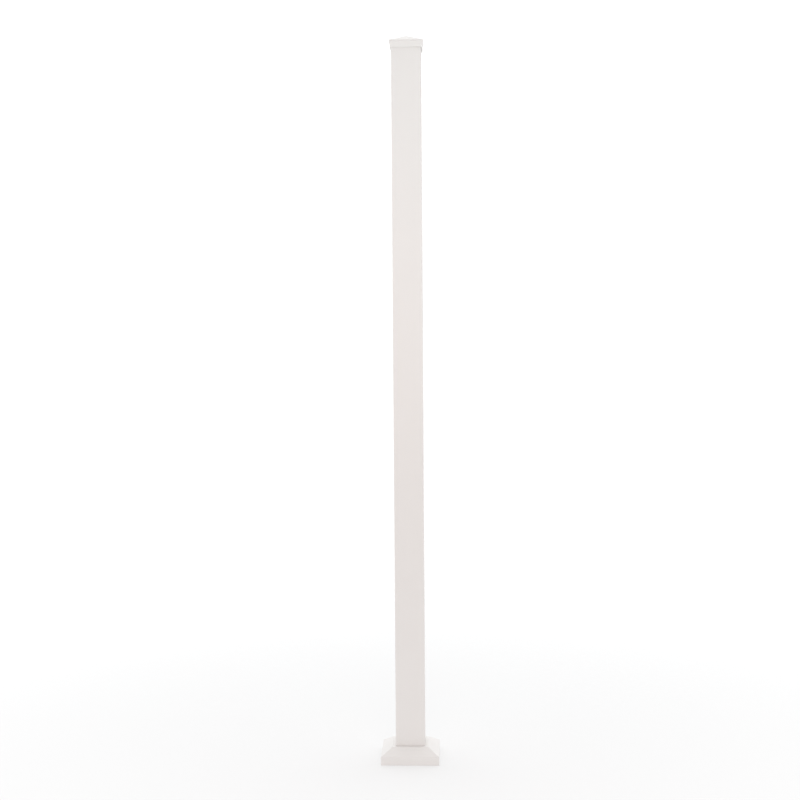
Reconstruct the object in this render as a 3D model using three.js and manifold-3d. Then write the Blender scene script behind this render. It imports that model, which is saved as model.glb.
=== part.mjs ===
// White privacy screen post: a square hollow post welded to a foot plate, a pyramid cap over its
// top, and a flared cover in two halves around its foot.
// Millimetres, +Z up, the front faces -Y, the origin is on the ground under the post's axis.
import * as THREE from "three";
import { mergeVertices } from "three/addons/utils/BufferGeometryUtils.js";
import Module from "manifold-3d";

const wasm = await Module();
wasm.setup();

// Whole object
const INCH = 25.4;
const HEIGHT = 74 * INCH; // ground to the point of the cap
const TOUCH = 0.3; // gap between pieces that rest on each other
const CORNER_STEPS = 6; // facets in one rounded corner
const INSIDE_CORNER = 0.5; // corner radius on the inside of the thin walls
const BEYOND = 5; // how far a cutting tool runs past the face that it opens

// Post and its welded foot plate
const POST_SIDE = 3 * INCH;
const POST_WALL = 2.5;
const POST_CORNER = 0.8; // outside corner radius
const PLATE_SIDE = 5 * INCH;
const PLATE_THICK = 9.5;
const PLATE_CORNER = 6;
const WELD_LEG = 5;
const BOLT_SPACING = 4 * INCH; // centre to centre, on a square
const BOLT_HOLE = 11; // diameter
const BOLT_HOLE_SIDES = 24;

// Cap
const CAP_LIP = 88.6; // side of the overhanging lip, at the foot of the roof
const CAP_LIP_HEIGHT = 2.9; // the sloped underside of the lip
const CAP_SKIRT_TOP = 83.9;
const CAP_SKIRT_FOOT = 82.1;
const CAP_SKIRT_HEIGHT = 15.1;
const CAP_ROOF_RISE = 17.8;
const CAP_WALL = 2.4;
const CAP_CORNER = 0.6;

// Base cover
const COVER_SIDE = 150.8;
const COVER_BAND = 22.1; // height of the upright band
const COVER_HEIGHT = 39.7;
const COVER_LEDGE = 94; // side of the flat ledge around the post
const COVER_WALL = 2;
const COVER_CORNER = 0.8;
const COVER_SIDE_GAP = 0.2; // between the post and the cover, at the left and right
const COVER_FACE_GAP = 0.9; // the same at the front and rear, where it shows as a dark line
const COVER_OPENING_CORNER = 1.2;
const COVER_SEAM = 0.4; // joint between the two halves

// Heights and slopes that follow from the sizes above
const LIP_TOP = HEIGHT - CAP_ROOF_RISE;
const LIP_FOOT = LIP_TOP - CAP_LIP_HEIGHT;
const CAP_FOOT = LIP_FOOT - CAP_SKIRT_HEIGHT;
const ROOF_PITCH = Math.atan2(CAP_ROOF_RISE, CAP_LIP / 2);
const ROOF_INSIDE_PEAK = HEIGHT - CAP_WALL / Math.cos(ROOF_PITCH);
const POST_TOP = roofInside(POST_SIDE / 2) - TOUCH;
const FLARE_PITCH = Math.atan2(COVER_HEIGHT - COVER_BAND, (COVER_SIDE - COVER_LEDGE) / 2);

// Height of the roof's inner face at a distance from the axis.
function roofInside(reach) {
  return ROOF_INSIDE_PEAK - reach * Math.tan(ROOF_PITCH);
}

// Height of the flared cover's inner face at a distance from the axis.
function flareInside(reach) {
  const drop = COVER_WALL / Math.cos(FLARE_PITCH);
  return COVER_BAND - drop + (COVER_SIDE / 2 - reach) * Math.tan(FLARE_PITCH);
}

// Distance from the axis at which the flared cover's inner face has a given height.
function flareReach(z) {
  return COVER_SIDE / 2 - (z - flareInside(COVER_SIDE / 2)) / Math.tan(FLARE_PITCH);
}

// Points of one level rectangle with rounded corners, anticlockwise seen from above.
// It is a square unless its depth along Y is given too.
function roundedRing(side, corner, z, depth = side) {
  const points = [];
  for (let quarter = 0; quarter < 4; quarter++) {
    const signX = quarter === 0 || quarter === 3 ? 1 : -1;
    const signY = quarter < 2 ? 1 : -1;
    const centreX = signX * (side / 2 - corner);
    const centreY = signY * (depth / 2 - corner);
    for (let step = 0; step <= CORNER_STEPS; step++) {
      const angle = (quarter + step / CORNER_STEPS) * (Math.PI / 2);
      points.push([centreX + corner * Math.cos(angle), centreY + corner * Math.sin(angle), z]);
    }
  }
  return points;
}

// Closed form through level rings, each [side, corner, z] or [side, corner, z, depth], from the lowest up.
// Its top closes at the height peak, which makes a pyramid where it is above the last ring.
function loft(levels, peak = levels.at(-1)[2]) {
  const rings = levels.map((level) => roundedRing(...level));
  const count = rings[0].length;
  const vertices = rings.flat();
  const foot = vertices.push([0, 0, levels[0][2]]) - 1;
  const top = vertices.push([0, 0, peak]) - 1;
  const last = (rings.length - 1) * count;
  const triangles = [];
  for (let i = 0; i < count; i++) {
    const next = (i + 1) % count;
    triangles.push(foot, next, i);
    triangles.push(last + i, last + next, top);
    for (let start = 0; start < last; start += count) {
      const a = start + i;
      const b = start + next;
      triangles.push(a, b, b + count);
      triangles.push(a, b + count, a + count);
    }
  }
  const geometry = new THREE.BufferGeometry();
  geometry.setAttribute("position", new THREE.Float32BufferAttribute(vertices.flat(), 3));
  geometry.setIndex(triangles);
  return solid(geometry);
}

// Straight square bar with rounded corners.
function bar(side, corner, low, high) {
  return loft([
    [side, corner, low],
    [side, corner, high],
  ]);
}

// A closed geometry as a solid that can be joined and cut.
function solid(geometry) {
  geometry.deleteAttribute("normal");
  geometry.deleteAttribute("uv");
  const merged = mergeVertices(geometry);
  return new wasm.Manifold(
    new wasm.Mesh({
      numProp: 3,
      vertProperties: merged.attributes.position.array,
      triVerts: new Uint32Array(merged.index.array),
    }),
  );
}

// A finished solid as a named mesh with a material of its own.
function piece(name, body) {
  const { numProp, numVert, vertProperties, triVerts } = body.getMesh();
  const positions = new Float32Array(numVert * 3);
  for (let i = 0; i < numVert; i++) {
    positions.set(vertProperties.subarray(i * numProp, i * numProp + 3), i * 3);
  }
  const geometry = new THREE.BufferGeometry();
  geometry.setAttribute("position", new THREE.BufferAttribute(positions, 3));
  geometry.setIndex(new THREE.BufferAttribute(triVerts, 1));
  geometry.computeVertexNormals();
  const coat = new THREE.MeshStandardMaterial({ color: 0xf0ece8, roughness: 0.45, metalness: 0 });
  const mesh = new THREE.Mesh(geometry, coat);
  mesh.name = name;
  return mesh;
}

// Upright round hole at one corner of the bolt square.
function boltHole(signX, signY) {
  const radius = BOLT_HOLE / 2;
  const drill = new THREE.CylinderGeometry(radius, radius, 2 * PLATE_THICK + BEYOND, BOLT_HOLE_SIDES);
  drill.rotateX(Math.PI / 2);
  drill.translate((signX * BOLT_SPACING) / 2, (signY * BOLT_SPACING) / 2, 0);
  return solid(drill);
}

// Hollow post on its foot plate, with the weld as a sloped bead around it. The top is open.
function post() {
  const plate = bar(PLATE_SIDE, PLATE_CORNER, 0, PLATE_THICK);
  const tube = bar(POST_SIDE, POST_CORNER, PLATE_THICK / 2, POST_TOP);
  const bead = loft([
    [POST_SIDE + 2 * WELD_LEG, POST_CORNER + WELD_LEG, PLATE_THICK / 2],
    [POST_SIDE + 2 * WELD_LEG, POST_CORNER + WELD_LEG, PLATE_THICK],
    [POST_SIDE, POST_CORNER, PLATE_THICK + WELD_LEG],
  ]);
  const bore = bar(POST_SIDE - 2 * POST_WALL, INSIDE_CORNER, PLATE_THICK, POST_TOP + BEYOND);
  let body = plate.add(bead).add(tube).subtract(bore);
  for (const signX of [-1, 1]) {
    for (const signY of [-1, 1]) {
      body = body.subtract(boltHole(signX, signY));
    }
  }
  return body;
}

// Thin cap: a slightly tapered skirt, a lip that leans out over it and a low pyramid roof.
function cap() {
  const socket = CAP_SKIRT_FOOT - 2 * CAP_WALL;
  const outside = loft(
    [
      [CAP_SKIRT_FOOT, CAP_CORNER, CAP_FOOT],
      [CAP_SKIRT_TOP, CAP_CORNER, LIP_FOOT],
      [CAP_LIP, CAP_CORNER, LIP_TOP],
    ],
    HEIGHT,
  );
  const inside = loft(
    [
      [socket, INSIDE_CORNER, CAP_FOOT - BEYOND],
      [socket, INSIDE_CORNER, roofInside(socket / 2)],
    ],
    ROOF_INSIDE_PEAK,
  );
  return outside.subtract(inside);
}

// Whole foot cover: an upright band, a flare up to a flat ledge, and an opening for the post that is
// snug at its sides and wider at its front and rear.
function cover() {
  const inner = COVER_SIDE - 2 * COVER_WALL;
  const ledgeUnderside = COVER_HEIGHT - COVER_WALL;
  const outside = loft([
    [COVER_SIDE, COVER_CORNER, 0],
    [COVER_SIDE, COVER_CORNER, COVER_BAND],
    [COVER_LEDGE, COVER_CORNER, COVER_HEIGHT],
  ]);
  const inside = loft([
    [inner, INSIDE_CORNER, -BEYOND],
    [inner, INSIDE_CORNER, flareInside(inner / 2)],
    [2 * flareReach(ledgeUnderside), INSIDE_CORNER, ledgeUnderside],
  ]);
  const width = POST_SIDE + 2 * COVER_SIDE_GAP;
  const depth = POST_SIDE + 2 * COVER_FACE_GAP;
  const opening = loft([
    [width, COVER_OPENING_CORNER, ledgeUnderside - BEYOND, depth],
    [width, COVER_OPENING_CORNER, COVER_HEIGHT + BEYOND, depth],
  ]);
  return outside.subtract(inside).subtract(opening);
}

// One half of the cover, on the side of the seam that the sign of Y gives.
function coverHalf(whole, signY) {
  const keep = new THREE.BoxGeometry(2 * COVER_SIDE, COVER_SIDE, 4 * COVER_HEIGHT);
  keep.translate(0, (signY * (COVER_SIDE + COVER_SEAM)) / 2, 0);
  return whole.intersect(solid(keep));
}

const wholeCover = cover();
const screenPost = new THREE.Group();
screenPost.add(piece("post", post()));
screenPost.add(piece("post_cap", cap()));
screenPost.add(piece("base_cover_front", coverHalf(wholeCover, -1)));
screenPost.add(piece("base_cover_rear", coverHalf(wholeCover, 1)));

export default screenPost;
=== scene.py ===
import math
from typing import NamedTuple

import bmesh
import bpy
from mathutils import Matrix, Vector


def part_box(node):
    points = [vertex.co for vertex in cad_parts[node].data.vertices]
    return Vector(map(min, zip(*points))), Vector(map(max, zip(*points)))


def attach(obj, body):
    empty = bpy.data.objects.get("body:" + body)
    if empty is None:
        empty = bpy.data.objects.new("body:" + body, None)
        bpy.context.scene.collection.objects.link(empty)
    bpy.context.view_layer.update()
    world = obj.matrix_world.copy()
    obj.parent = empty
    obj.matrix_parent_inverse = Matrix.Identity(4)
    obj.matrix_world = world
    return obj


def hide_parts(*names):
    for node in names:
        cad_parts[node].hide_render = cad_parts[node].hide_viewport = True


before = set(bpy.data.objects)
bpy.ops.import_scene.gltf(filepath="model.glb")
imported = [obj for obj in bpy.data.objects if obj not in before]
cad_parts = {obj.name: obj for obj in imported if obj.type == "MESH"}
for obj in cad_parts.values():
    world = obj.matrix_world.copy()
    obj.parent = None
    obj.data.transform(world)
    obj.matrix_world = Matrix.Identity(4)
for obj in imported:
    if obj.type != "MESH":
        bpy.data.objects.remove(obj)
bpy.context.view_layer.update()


class Corner(NamedTuple):
    """A corner of a wall's profile, with the form of the level ring that it makes around the axis."""

    reach: float
    z: float
    edge: float = 0  # radius that rounds this corner of the profile
    plan: float = 0  # radius of the ring's four corners
    deeper: float = 0  # how much further the ring reaches along Y


class Softbox(NamedTuple):
    """A soft lamp that the camera doesn't see."""

    name: str
    place: Vector
    aim: Vector
    size: float
    spread: float
    power: float
    tone: tuple


MM = 0.001

# Corners of the solids' boxes in the frame
post_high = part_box("post")[1]
cap_low, cap_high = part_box("post_cap")
cover_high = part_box("base_cover_front")[1]

# Post and foot plate. A reach is half of a side, from the post's axis, and an edge is a rounding radius
POST_REACH = 38.1 * MM
POST_WALL = 2.5 * MM
POST_CORNER = 0.8 * MM
POST_TOP = post_high.z
POST_RIM_EDGE = 0.5 * MM
BORE_RIM_EDGE = 0.4 * MM
PLATE_REACH = post_high.x
PLATE_THICK = 9.5 * MM
PLATE_CORNER = 6 * MM
PLATE_EDGE = 0.8 * MM
WELD_LEG = 5 * MM
WELD_EDGE = 1 * MM
BOLT_REACH = 50.8 * MM
BOLT_RADIUS = 5.5 * MM
BOLT_HOLE_SIDES = 24
DRILL_DEPTH = 4 * PLATE_THICK

# Cap
CAP_PEAK = cap_high.z
CAP_LIP_REACH = cap_high.x
CAP_FOOT = cap_low.z
CAP_ROOF_RISE = 17.8 * MM
CAP_LIP_HEIGHT = 2.9 * MM
CAP_SKIRT_TOP_REACH = 41.95 * MM
CAP_SKIRT_FOOT_REACH = 41.05 * MM
CAP_WALL = 2.4 * MM
CAP_CORNER = 0.6 * MM
CAP_LIP_EDGE = 0.3 * MM
CAP_UNDER_LIP_EDGE = 0.8 * MM
CAP_SKIRT_EDGE = 0.3 * MM
CAP_SOCKET_EDGE = 0.4 * MM
CAP_INSIDE_EDGE = 0.6 * MM
CAP_TIP_REACH = 0.8 * MM  # half-width of the slightly blunted point
CAP_TIP_CORNER = 0.5 * CAP_TIP_REACH
CAP_TIP_LOSS = 0.4  # share of its own height that the blunted point loses

# Base cover
COVER_REACH = cover_high.x
COVER_HEIGHT = cover_high.z
COVER_BAND = 22.1 * MM
COVER_LEDGE_REACH = 47 * MM
COVER_WALL = 2 * MM
COVER_CORNER = 0.8 * MM
COVER_FOOT_EDGE = 0.15 * MM
COVER_FLARE_EDGE = 0.6 * MM
COVER_INSIDE_EDGE = 0.8 * MM
COVER_INSIDE_FOOT_EDGE = 0.4 * MM
COVER_SIDE_GAP = 0.2 * MM
COVER_FACE_GAP = 0.9 * MM
COVER_OPENING_CORNER = 1.2 * MM
COVER_OPENING_EDGE = 0.15 * MM
COVER_OPENING_UNDER_EDGE = 0.3 * MM
COVER_SEAM = 0.4 * MM
SEAM_BEVEL = 0.5 * MM

# Rounding of edges and corners
INSIDE_CORNER = 0.5 * MM
CORNER_STEPS = 6
EDGE_STEPS = 4
EDGE_LIMIT = 0.45  # most of a side that the rounding at one of its ends may take up
FLAT_WEIGHT = 100  # how firmly the flat faces keep their own shading beside the rounded edges

# Powder coat. The fittings are the cap and the cover
COAT_LIGHT = (0.858, 0.842, 0.828)
COAT_SHADE = (0.846, 0.830, 0.816)
POST_ROUGHNESS = 0.45
FITTING_ROUGHNESS = 0.42
GLOSS_SPREAD = 0.05
DRIFT_SCALE = 9.0
DRIFT_DETAIL = 3.0
DRIFT_ROUGHNESS = 0.5
DRIFT_LOW = 0.3
DRIFT_HIGH = 0.7
POST_PEEL_SIZE = 1.6 * MM
FITTING_PEEL_SIZE = 1.3 * MM
PEEL_DETAIL = 2.0
PEEL_ROUGHNESS = 0.4
PEEL_STRENGTH = 0.2
PEEL_DEPTH = 0.04 * MM

# Matt floor with a faint glow, which fades out into the room around it
FLOOR_RADIUS = 8.0
FLOOR_SIDES = 96
FLOOR_FADE_START = 0.0
FLOOR_FADE_END = 3.4
FLOOR_DROP = 0.02 * MM
FLOOR_TONE = (0.663, 0.668, 0.672)
FLOOR_GLOW = 0.268

# Pale room: its level, what is added towards the rear and the upper rear, and what the front lacks
ROOM_LEVEL = 0.963
ROOM_REAR_GAIN = 0.141
ROOM_REAR_TOP_GAIN = 0.725
ROOM_FRONT_LOSS = 0.443

# A large warm lamp behind the camera, and two small ones that even out the post from its middle up
SOFTBOXES = (
    Softbox(
        "front_fill", Vector((0.3, -4.6, 1.9)), Vector((0, 0, 1)),
        size=3.0, spread=math.radians(180), power=34.6, tone=(1.0, 0.765, 0.682),
    ),
    Softbox(
        "upper_lamp", Vector((0.1, -2.4, 1.95)), Vector((0, 0, 1.85)),
        size=0.7, spread=math.radians(46), power=0.39, tone=(0.71, 0.945, 1.0),
    ),
    Softbox(
        "middle_lamp", Vector((0.1, -2.4, 1.2)), Vector((0, 0, 1.15)),
        size=0.7, spread=math.radians(46), power=0.315, tone=(1.0, 0.917, 0.883),
    ),
)

# Camera, as the photograph sees the post. The lens and the sensor are in millimetres
CAMERA_PLACE = Vector((0.1141, -3.5745, 1.1534))
CAMERA_YAW = math.radians(2.188)
CAMERA_PITCH = math.radians(3.35)
CAMERA_ROLL = math.radians(0.405)
CAMERA_LENS = 61.894
CAMERA_SENSOR = 36.0


def fillet(before, corner, after):
    """The corners that round one corner of a profile."""
    if corner.edge == 0:
        return [corner]
    here = Vector((corner.reach, corner.z))
    back = Vector((before.reach, before.z)) - here
    ahead = Vector((after.reach, after.z)) - here
    half = back.angle(ahead) / 2
    tangent = min(corner.edge / math.tan(half), EDGE_LIMIT * min(back.length, ahead.length))
    radius = tangent * math.tan(half)
    start = here + back.normalized() * tangent
    end = here + ahead.normalized() * tangent
    bisector = (back.normalized() + ahead.normalized()).normalized()
    centre = here + bisector * (radius / math.sin(half))
    corners = []
    for step in range(EDGE_STEPS + 1):
        spoke = start.lerp(end, step / EDGE_STEPS) - centre
        point = centre + spoke.normalized() * radius
        corners.append(corner._replace(reach=point.x, z=point.y))
    return corners


def rounded(profile, closed):
    """A profile with its corners rounded. The ends of an open one stay as they are."""
    corners = []
    for i, corner in enumerate(profile):
        if closed or 0 < i < len(profile) - 1:
            corners.extend(fillet(profile[i - 1], corner, profile[(i + 1) % len(profile)]))
        else:
            corners.append(corner)
    return corners


def inset(profile, depth):
    """A closed profile with every side of it moved inwards by a small depth."""
    moved = []
    for i, corner in enumerate(profile):
        before = profile[i - 1]
        after = profile[(i + 1) % len(profile)]
        arriving = Vector((corner.reach - before.reach, corner.z - before.z)).normalized()
        leaving = Vector((after.reach - corner.reach, after.z - corner.z)).normalized()
        mitre = (arriving + leaving) * depth / (1 + arriving.dot(leaving))
        moved.append(corner._replace(reach=corner.reach - mitre.y, z=corner.z + mitre.x))
    return moved


def quarter_ring(corner, quarter):
    """Points round one of the four corners of a level ring, anticlockwise from above."""
    sign_x = 1 if quarter in (0, 3) else -1
    sign_y = 1 if quarter in (0, 1) else -1
    centre_x = sign_x * (corner.reach - corner.plan)
    centre_y = sign_y * (corner.reach + corner.deeper - corner.plan)
    points = []
    for step in range(CORNER_STEPS + 1):
        angle = (quarter + step / CORNER_STEPS) * math.pi / 2
        x = centre_x + corner.plan * math.cos(angle)
        y = centre_y + corner.plan * math.sin(angle)
        points.append(Vector((x, y, corner.z)))
    return points


def mesh_object(name, vertices, faces):
    """A smooth-shaded mesh object in the scene."""
    mesh = bpy.data.meshes.new(name)
    mesh.from_pydata(vertices, [], faces)
    mesh.validate()
    for polygon in mesh.polygons:
        polygon.use_smooth = True
    piece = bpy.data.objects.new(name, mesh)
    bpy.context.scene.collection.objects.link(piece)
    return piece


def square_body(name, profile):
    """Closed body of level rings. Its profile runs from axis to axis with the material on its left."""
    corners = rounded(profile, closed=False)
    vertices = [(0, 0, corners[0].z)]
    for corner in corners[1:-1]:
        for quarter in range(4):
            vertices.extend(quarter_ring(corner, quarter))
    vertices.append((0, 0, corners[-1].z))
    count = 4 * (CORNER_STEPS + 1)
    final = len(vertices) - 1
    faces = []
    for i in range(count):
        following = (i + 1) % count
        faces.append((0, 1 + following, 1 + i))
        faces.append((final - count + i, final - count + following, final))
        for start in range(1, final - count, count):
            a = start + i
            b = start + following
            faces.append((a, b, b + count, a + count))
    return mesh_object(name, vertices, faces)


def half_collar(name, profile, turn):
    """Half of a square collar: a wall section carried round the front, then turned about the axis."""
    section = rounded(profile, closed=True)
    narrow = rounded(inset(profile, SEAM_BEVEL), closed=True)
    end_y = -COVER_SEAM / 2
    full_y = end_y - SEAM_BEVEL
    stations = [
        [Vector((-corner.reach, end_y, corner.z)) for corner in narrow],
        [Vector((-corner.reach, full_y, corner.z)) for corner in section],
    ]
    for quarter in (2, 3):
        arcs = [quarter_ring(corner, quarter) for corner in section]
        stations.extend(list(station) for station in zip(*arcs))
    stations.append([Vector((corner.reach, full_y, corner.z)) for corner in section])
    stations.append([Vector((corner.reach, end_y, corner.z)) for corner in narrow])
    rotation = Matrix.Rotation(turn, 3, "Z")
    vertices = [rotation @ point for station in stations for point in station]
    count = len(section)
    last = len(vertices) - count
    faces = []
    for low in range(0, last, count):
        high = low + count
        for k in range(count):
            following = (k + 1) % count
            faces.append((low + k, high + k, high + following, low + following))
    faces.append(tuple(range(count)))
    faces.append(tuple(last + k for k in reversed(range(count))))
    return mesh_object(name, vertices, faces)


def drill(piece, places, radius, depth):
    """Cuts upright round holes through a piece's foot."""
    form = bmesh.new()
    for x, y in places:
        bmesh.ops.create_cone(
            form,
            cap_ends=True,
            segments=BOLT_HOLE_SIDES,
            radius1=radius,
            radius2=radius,
            depth=depth,
            matrix=Matrix.Translation((x, y, 0)),
        )
    mesh = bpy.data.meshes.new("drill")
    form.to_mesh(mesh)
    form.free()
    cutter = bpy.data.objects.new("drill", mesh)
    bpy.context.scene.collection.objects.link(cutter)
    cut = piece.modifiers.new("bolt_holes", "BOOLEAN")
    cut.object = cutter
    cut.solver = "EXACT"
    shown = piece.evaluated_get(bpy.context.evaluated_depsgraph_get())
    piece.data = bpy.data.meshes.new_from_object(shown)
    piece.modifiers.clear()
    bpy.data.objects.remove(cutter)


def make_post():
    """Hollow post, open at the top, welded to a foot plate with four bolt holes."""
    bore = POST_REACH - POST_WALL
    weld = POST_REACH + WELD_LEG
    profile = [
        Corner(0, 0),
        Corner(PLATE_REACH, 0, PLATE_EDGE, PLATE_CORNER),
        Corner(PLATE_REACH, PLATE_THICK, PLATE_EDGE, PLATE_CORNER),
        Corner(weld, PLATE_THICK, WELD_EDGE, POST_CORNER + WELD_LEG),
        Corner(POST_REACH, PLATE_THICK + WELD_LEG, WELD_EDGE, POST_CORNER),
        Corner(POST_REACH, POST_TOP, POST_RIM_EDGE, POST_CORNER),
        Corner(bore, POST_TOP, BORE_RIM_EDGE, INSIDE_CORNER),
        Corner(bore, PLATE_THICK, 0, INSIDE_CORNER),
        Corner(0, PLATE_THICK),
    ]
    post = square_body("post_shell", profile)
    places = [(sx * BOLT_REACH, sy * BOLT_REACH) for sx in (-1, 1) for sy in (-1, 1)]
    drill(post, places, BOLT_RADIUS, DRILL_DEPTH)
    return post


def make_cap():
    """Thin cap: a slightly tapered skirt, a lip that leans out over it and a low pyramid roof."""
    lip_top = CAP_PEAK - CAP_ROOF_RISE
    lip_foot = lip_top - CAP_LIP_HEIGHT
    pitch = math.atan2(CAP_ROOF_RISE, CAP_LIP_REACH)
    inside_peak = CAP_PEAK - CAP_WALL / math.cos(pitch)
    socket = CAP_SKIRT_FOOT_REACH - CAP_WALL
    tip_height = CAP_TIP_REACH * math.tan(pitch)
    profile = [
        Corner(0, inside_peak),
        Corner(socket, inside_peak - socket * math.tan(pitch), CAP_INSIDE_EDGE, INSIDE_CORNER),
        Corner(socket, CAP_FOOT, CAP_SOCKET_EDGE, INSIDE_CORNER),
        Corner(CAP_SKIRT_FOOT_REACH, CAP_FOOT, CAP_SKIRT_EDGE, CAP_CORNER),
        Corner(CAP_SKIRT_TOP_REACH, lip_foot, CAP_UNDER_LIP_EDGE, CAP_CORNER),
        Corner(CAP_LIP_REACH, lip_top, CAP_LIP_EDGE, CAP_CORNER),
        Corner(CAP_TIP_REACH, CAP_PEAK - tip_height, 0, CAP_TIP_CORNER),
        Corner(0, CAP_PEAK - CAP_TIP_LOSS * tip_height),
    ]
    return square_body("cap_shell", profile)


def cover_profile():
    """Wall section of the base cover: an upright band, a flare and a flat ledge around the post."""
    pitch = math.atan2(COVER_HEIGHT - COVER_BAND, COVER_REACH - COVER_LEDGE_REACH)
    inner = COVER_REACH - COVER_WALL
    flare_foot = COVER_BAND - COVER_WALL / math.cos(pitch)
    underside = COVER_HEIGHT - COVER_WALL
    ledge_inner = COVER_REACH - (underside - flare_foot) / math.tan(pitch)
    opening = POST_REACH + COVER_SIDE_GAP
    deeper = COVER_FACE_GAP - COVER_SIDE_GAP
    return [
        Corner(COVER_REACH, 0, COVER_FOOT_EDGE, COVER_CORNER),
        Corner(COVER_REACH, COVER_BAND, COVER_FLARE_EDGE, COVER_CORNER),
        Corner(COVER_LEDGE_REACH, COVER_HEIGHT, COVER_FLARE_EDGE, COVER_CORNER),
        Corner(opening, COVER_HEIGHT, COVER_OPENING_EDGE, COVER_OPENING_CORNER, deeper),
        Corner(opening, underside, COVER_OPENING_UNDER_EDGE, COVER_OPENING_CORNER, deeper),
        Corner(ledge_inner, underside, COVER_INSIDE_EDGE, INSIDE_CORNER),
        Corner(inner, flare_foot + COVER_WALL * math.tan(pitch), COVER_INSIDE_EDGE, INSIDE_CORNER),
        Corner(inner, 0, COVER_INSIDE_FOOT_EDGE, INSIDE_CORNER),
    ]


def node(tree, kind, **settings):
    """A shader node with its properties or input values set."""
    made = tree.nodes.new(kind)
    for key, value in settings.items():
        if key in made.inputs:
            made.inputs[key].default_value = value
        else:
            setattr(made, key, value)
    return made


def calculated(tree, operation, *values):
    """The result of a math node on sockets and numbers."""
    made = node(tree, "ShaderNodeMath", operation=operation)
    for socket, value in zip(made.inputs, values):
        if isinstance(value, float):
            socket.default_value = value
        else:
            tree.links.new(value, socket)
    return made.outputs["Value"]


def powder_coat(name, roughness, peel_size):
    """Satin white powder coat: a fine orange peel, slow changes of tone and slightly uneven gloss."""
    material = bpy.data.materials.new(name)
    material.use_nodes = True
    tree = material.node_tree
    link = tree.links.new
    shader = tree.nodes["Principled BSDF"]
    place = node(tree, "ShaderNodeTexCoord").outputs["Object"]

    drift = node(
        tree, "ShaderNodeTexNoise", Scale=DRIFT_SCALE, Detail=DRIFT_DETAIL, Roughness=DRIFT_ROUGHNESS
    )
    tone = node(tree, "ShaderNodeValToRGB")
    shade, light = tone.color_ramp.elements
    shade.position = DRIFT_LOW
    shade.color = (*COAT_SHADE, 1)
    light.position = DRIFT_HIGH
    light.color = (*COAT_LIGHT, 1)
    link(place, drift.inputs["Vector"])
    link(drift.outputs["Fac"], tone.inputs["Fac"])
    link(tone.outputs["Color"], shader.inputs["Base Color"])

    gloss = node(tree, "ShaderNodeMapRange")
    gloss.inputs["To Min"].default_value = roughness - GLOSS_SPREAD
    gloss.inputs["To Max"].default_value = roughness + GLOSS_SPREAD
    link(drift.outputs["Fac"], gloss.inputs["Value"])
    link(gloss.outputs["Result"], shader.inputs["Roughness"])

    peel = node(
        tree, "ShaderNodeTexNoise", Scale=1 / peel_size, Detail=PEEL_DETAIL, Roughness=PEEL_ROUGHNESS
    )
    skin = node(tree, "ShaderNodeBump", Strength=PEEL_STRENGTH, Distance=PEEL_DEPTH)
    link(place, peel.inputs["Vector"])
    link(peel.outputs["Fac"], skin.inputs["Height"])
    link(skin.outputs["Normal"], shader.inputs["Normal"])
    return material


def dress(piece, material, cad_node):
    """Finishes a piece and puts it in the place of its CAD node. Only its rounded edges shade as round."""
    flats = piece.modifiers.new("flat_faces", "WEIGHTED_NORMAL")
    flats.weight = FLAT_WEIGHT
    piece.data.materials.clear()
    piece.data.materials.append(material)
    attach(piece, "root")
    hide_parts(cad_node)


def floor_paper():
    """Matt pale paper that glows faintly and turns clear away from the post."""
    material = bpy.data.materials.new("floor")
    material.use_nodes = True
    tree = material.node_tree
    link = tree.links.new
    tree.nodes.remove(tree.nodes["Principled BSDF"])
    place = node(tree, "ShaderNodeTexCoord").outputs["Object"]
    distance = node(tree, "ShaderNodeVectorMath", operation="LENGTH")
    fade = node(tree, "ShaderNodeMapRange", interpolation_type="SMOOTHSTEP")
    fade.inputs["From Min"].default_value = FLOOR_FADE_START
    fade.inputs["From Max"].default_value = FLOOR_FADE_END
    paper = node(tree, "ShaderNodeBsdfDiffuse")
    paper.inputs["Color"].default_value = (*FLOOR_TONE, 1)
    glow = node(tree, "ShaderNodeEmission", Strength=FLOOR_GLOW)
    lit = node(tree, "ShaderNodeAddShader")
    clear = node(tree, "ShaderNodeBsdfTransparent")
    mix = node(tree, "ShaderNodeMixShader")
    link(place, distance.inputs[0])
    link(distance.outputs["Value"], fade.inputs["Value"])
    link(fade.outputs["Result"], mix.inputs["Fac"])
    link(paper.outputs["BSDF"], lit.inputs[0])
    link(glow.outputs["Emission"], lit.inputs[1])
    link(lit.outputs["Shader"], mix.inputs[1])
    link(clear.outputs["BSDF"], mix.inputs[2])
    link(mix.outputs["Shader"], tree.nodes["Material Output"].inputs["Surface"])
    return material


def make_floor():
    """Round floor, a hair below the ground so that it doesn't touch the part's underside."""
    form = bmesh.new()
    bmesh.ops.create_circle(form, cap_ends=True, segments=FLOOR_SIDES, radius=FLOOR_RADIUS)
    mesh = bpy.data.meshes.new("floor")
    form.to_mesh(mesh)
    form.free()
    floor = bpy.data.objects.new("floor", mesh)
    floor.location.z = -FLOOR_DROP
    bpy.context.scene.collection.objects.link(floor)
    mesh.materials.append(floor_paper())


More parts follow.
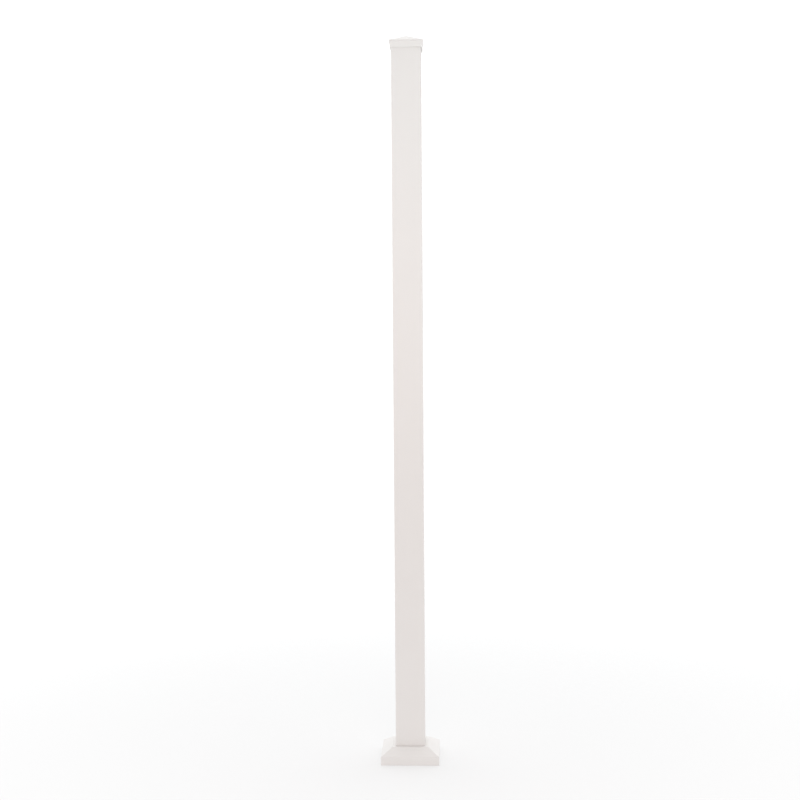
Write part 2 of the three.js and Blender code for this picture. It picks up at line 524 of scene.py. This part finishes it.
def make_room():
    """White light from all round, with a level that depends on the direction that it comes from."""
    world = bpy.data.worlds.new("room")
    bpy.context.scene.world = world
    world.use_nodes = True
    tree = world.node_tree
    parts = node(tree, "ShaderNodeSeparateXYZ")
    tree.links.new(node(tree, "ShaderNodeTexCoord").outputs["Generated"], parts.inputs["Vector"])
    upward = calculated(tree, "MAXIMUM", parts.outputs["Z"], 0.0)
    rearward = calculated(tree, "MAXIMUM", parts.outputs["Y"], 0.0)
    frontward = calculated(tree, "MINIMUM", parts.outputs["Y"], 0.0)
    rear_gain = calculated(tree, "MULTIPLY_ADD", upward, ROOM_REAR_TOP_GAIN, ROOM_REAR_GAIN)
    front_half = calculated(tree, "MULTIPLY_ADD", frontward, ROOM_FRONT_LOSS, ROOM_LEVEL)
    level = calculated(tree, "MULTIPLY_ADD", rearward, rear_gain, front_half)
    background = tree.nodes["Background"]
    background.inputs["Color"].default_value = (1, 1, 1, 1)
    tree.links.new(level, background.inputs["Strength"])


def make_softbox(box):
    """Puts one lamp in its place and turns it to its aim."""
    light = bpy.data.lights.new(box.name, "AREA")
    light.shape = "DISK"
    light.size = box.size
    light.spread = box.spread
    light.energy = box.power
    light.color = box.tone
    lamp = bpy.data.objects.new(box.name, light)
    lamp.location = box.place
    lamp.rotation_mode = "QUATERNION"
    lamp.rotation_quaternion = (box.aim - box.place).to_track_quat("-Z", "Y")
    lamp.visible_camera = False
    bpy.context.scene.collection.objects.link(lamp)


def make_camera():
    """Camera at the photograph's place and angle."""
    data = bpy.data.cameras.new("camera")
    data.sensor_width = CAMERA_SENSOR
    data.lens = CAMERA_LENS
    camera = bpy.data.objects.new("camera", data)
    camera.location = CAMERA_PLACE
    turn = Matrix.Rotation(CAMERA_YAW, 3, "Z")
    tilt = Matrix.Rotation(math.pi / 2 - CAMERA_PITCH, 3, "X")
    roll = Matrix.Rotation(-CAMERA_ROLL, 3, "Z")
    camera.rotation_mode = "QUATERNION"
    camera.rotation_quaternion = (turn @ tilt @ roll).to_quaternion()
    bpy.context.scene.collection.objects.link(camera)
    bpy.context.scene.camera = camera


# The part
post_coat = powder_coat("post_coat", POST_ROUGHNESS, POST_PEEL_SIZE)
cap_coat = powder_coat("cap_coat", FITTING_ROUGHNESS, FITTING_PEEL_SIZE)
cover_coat = powder_coat("cover_coat", FITTING_ROUGHNESS, FITTING_PEEL_SIZE)
cover_wall = cover_profile()
dress(make_post(), post_coat, "post")
dress(make_cap(), cap_coat, "post_cap")
dress(half_collar("cover_front_shell", cover_wall, 0), cover_coat, "base_cover_front")
dress(half_collar("cover_rear_shell", cover_wall, math.pi), cover_coat, "base_cover_rear")

# The studio around it
make_floor()
make_room()
for softbox in SOFTBOXES:
    make_softbox(softbox)
make_camera()
bpy.context.scene.view_settings.view_transform = "Standard"
